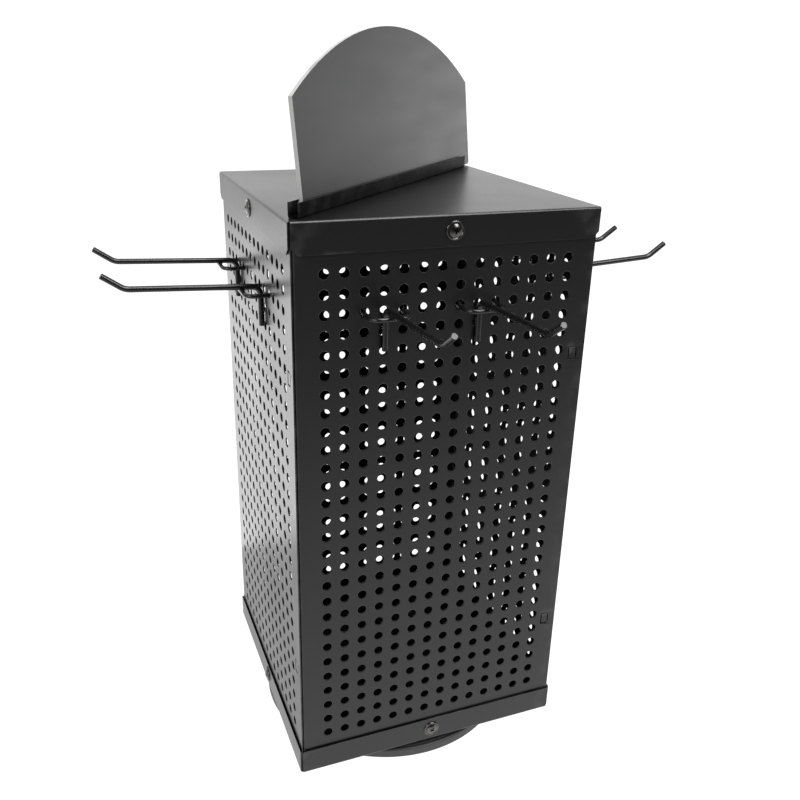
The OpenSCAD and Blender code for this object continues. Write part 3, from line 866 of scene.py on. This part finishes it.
# ---------------------------------------------------------------- studio
def floor_material():
    """Pale paper that glows softly: brightest round the display and behind it, dimmer out in front."""
    mat, nt, bsdf, co = new_material("floor_paper")
    fibre = noise(nt, co, 300.0, 3.0)
    paper = blend_colour(nt, fibre, (0.12, 0.12, 0.12), (0.14, 0.14, 0.14))
    nt.links.new(paper, bsdf.inputs["Base Color"])
    bsdf.inputs["Roughness"].default_value = 0.9
    bsdf.inputs["Specular IOR Level"].default_value = 0.0
    bsdf.inputs["Emission Color"].default_value = (1, 1, 1, 1)
    axes = nt.nodes.new("ShaderNodeSeparateXYZ")
    nt.links.new(co, axes.inputs[0])
    glow = spread(nt, axes.outputs["Y"], *FLOOR_FADE, *FLOOR_GLOW)
    nt.links.new(glow, bsdf.inputs["Emission Strength"])
    nt.links.new(bump(nt, fibre, 0.1, 0.0001), bsdf.inputs["Normal"])
    return mat


def disc_mesh(radius):
    n = 96
    verts = [(0.0, 0.0, 0.0)] + [(x, y, 0.0) for x, y in arc(0, 0, radius, 0, 360, n)[:-1]]
    mesh = bpy.data.meshes.new("floor")
    mesh.from_pydata(verts, [], [(0, i + 1, (i + 1) % n + 1) for i in range(n)])
    return mesh


# the floor's glow fades between two places along Y; all in metres from here on
FLOOR_FADE = (-1.0, -0.15)
FLOOR_GLOW = (0.05, 1.05)
FLOOR_R = 9.0
SKY_FADE = (-0.4, 0.7)
SKY_GLOW = (0.05, 1.15)
CAMERA_AT = (-0.22389, -0.57816, 0.51818)
CAMERA_ANGLES = (67.5597, -1.3721, -21.3345)
LENS, SENSOR_W = 38.97, 36.0
floor = add_object("studio_floor", disc_mesh(FLOOR_R))
floor.data.materials.append(floor_material())


def soft_light(name, at, target, size, radiance):
    """A rectangular soft light of a given size (width, height) in metres, outside the camera's view."""
    light = bpy.data.lights.new(name, "AREA")
    light.shape = "RECTANGLE"
    light.size, light.size_y = size
    light.energy = radiance * math.pi * size[0] * size[1]
    obj = bpy.data.objects.new(name, light)
    obj.location = at
    obj.rotation_euler = (Vector(target) - Vector(at)).to_track_quat("-Z", "Y").to_euler()
    obj.visible_camera = False
    bpy.context.scene.collection.objects.link(obj)


soft_light("overhead", (0.55, -0.9, 1.7), (0.1, -0.2, 0.3), (0.8, 1.8), 9.0)
soft_light("right_wall", (2.9, 1.9, 0.45), (0, 0, 0.45), (2.0, 0.8), 1.2)
soft_light("rear_wall", (0.9, 3.0, 1.1), (0, 0, 0.4), (4.0, 1.3), 0.15)
soft_light("rear_floor", (-0.7, 1.05, 0.02), (-0.7, 1.06, 1.0), (1.6, 1.7), 1.25)
soft_light("front_left", (-1.6, -1.0, 1.15), (0, 0, 0.35), (0.9, 0.9), 7.0)

world = bpy.data.worlds.new("studio")
world.use_nodes = True
wt = world.node_tree
sky = wt.nodes["Background"]
sky_axes = wt.nodes.new("ShaderNodeSeparateXYZ")
wt.links.new(wt.nodes.new("ShaderNodeTexCoord").outputs["Generated"], sky_axes.inputs[0])
wt.links.new(spread(wt, sky_axes.outputs["Y"], *SKY_FADE, *SKY_GLOW), sky.inputs["Strength"])
sky.inputs["Color"].default_value = (1, 1, 1, 1)
bpy.context.scene.world = world
bpy.context.scene.view_settings.view_transform = "Standard"

# ---------------------------------------------------------------- camera
camera_data = bpy.data.cameras.new("camera")
camera_data.sensor_width = SENSOR_W
camera_data.lens = LENS
camera_data.clip_start = 0.01
camera = bpy.data.objects.new("camera", camera_data)
camera.location = CAMERA_AT
camera.rotation_euler = [math.radians(a) for a in CAMERA_ANGLES]
bpy.context.scene.collection.objects.link(camera)
bpy.context.scene.camera = camera
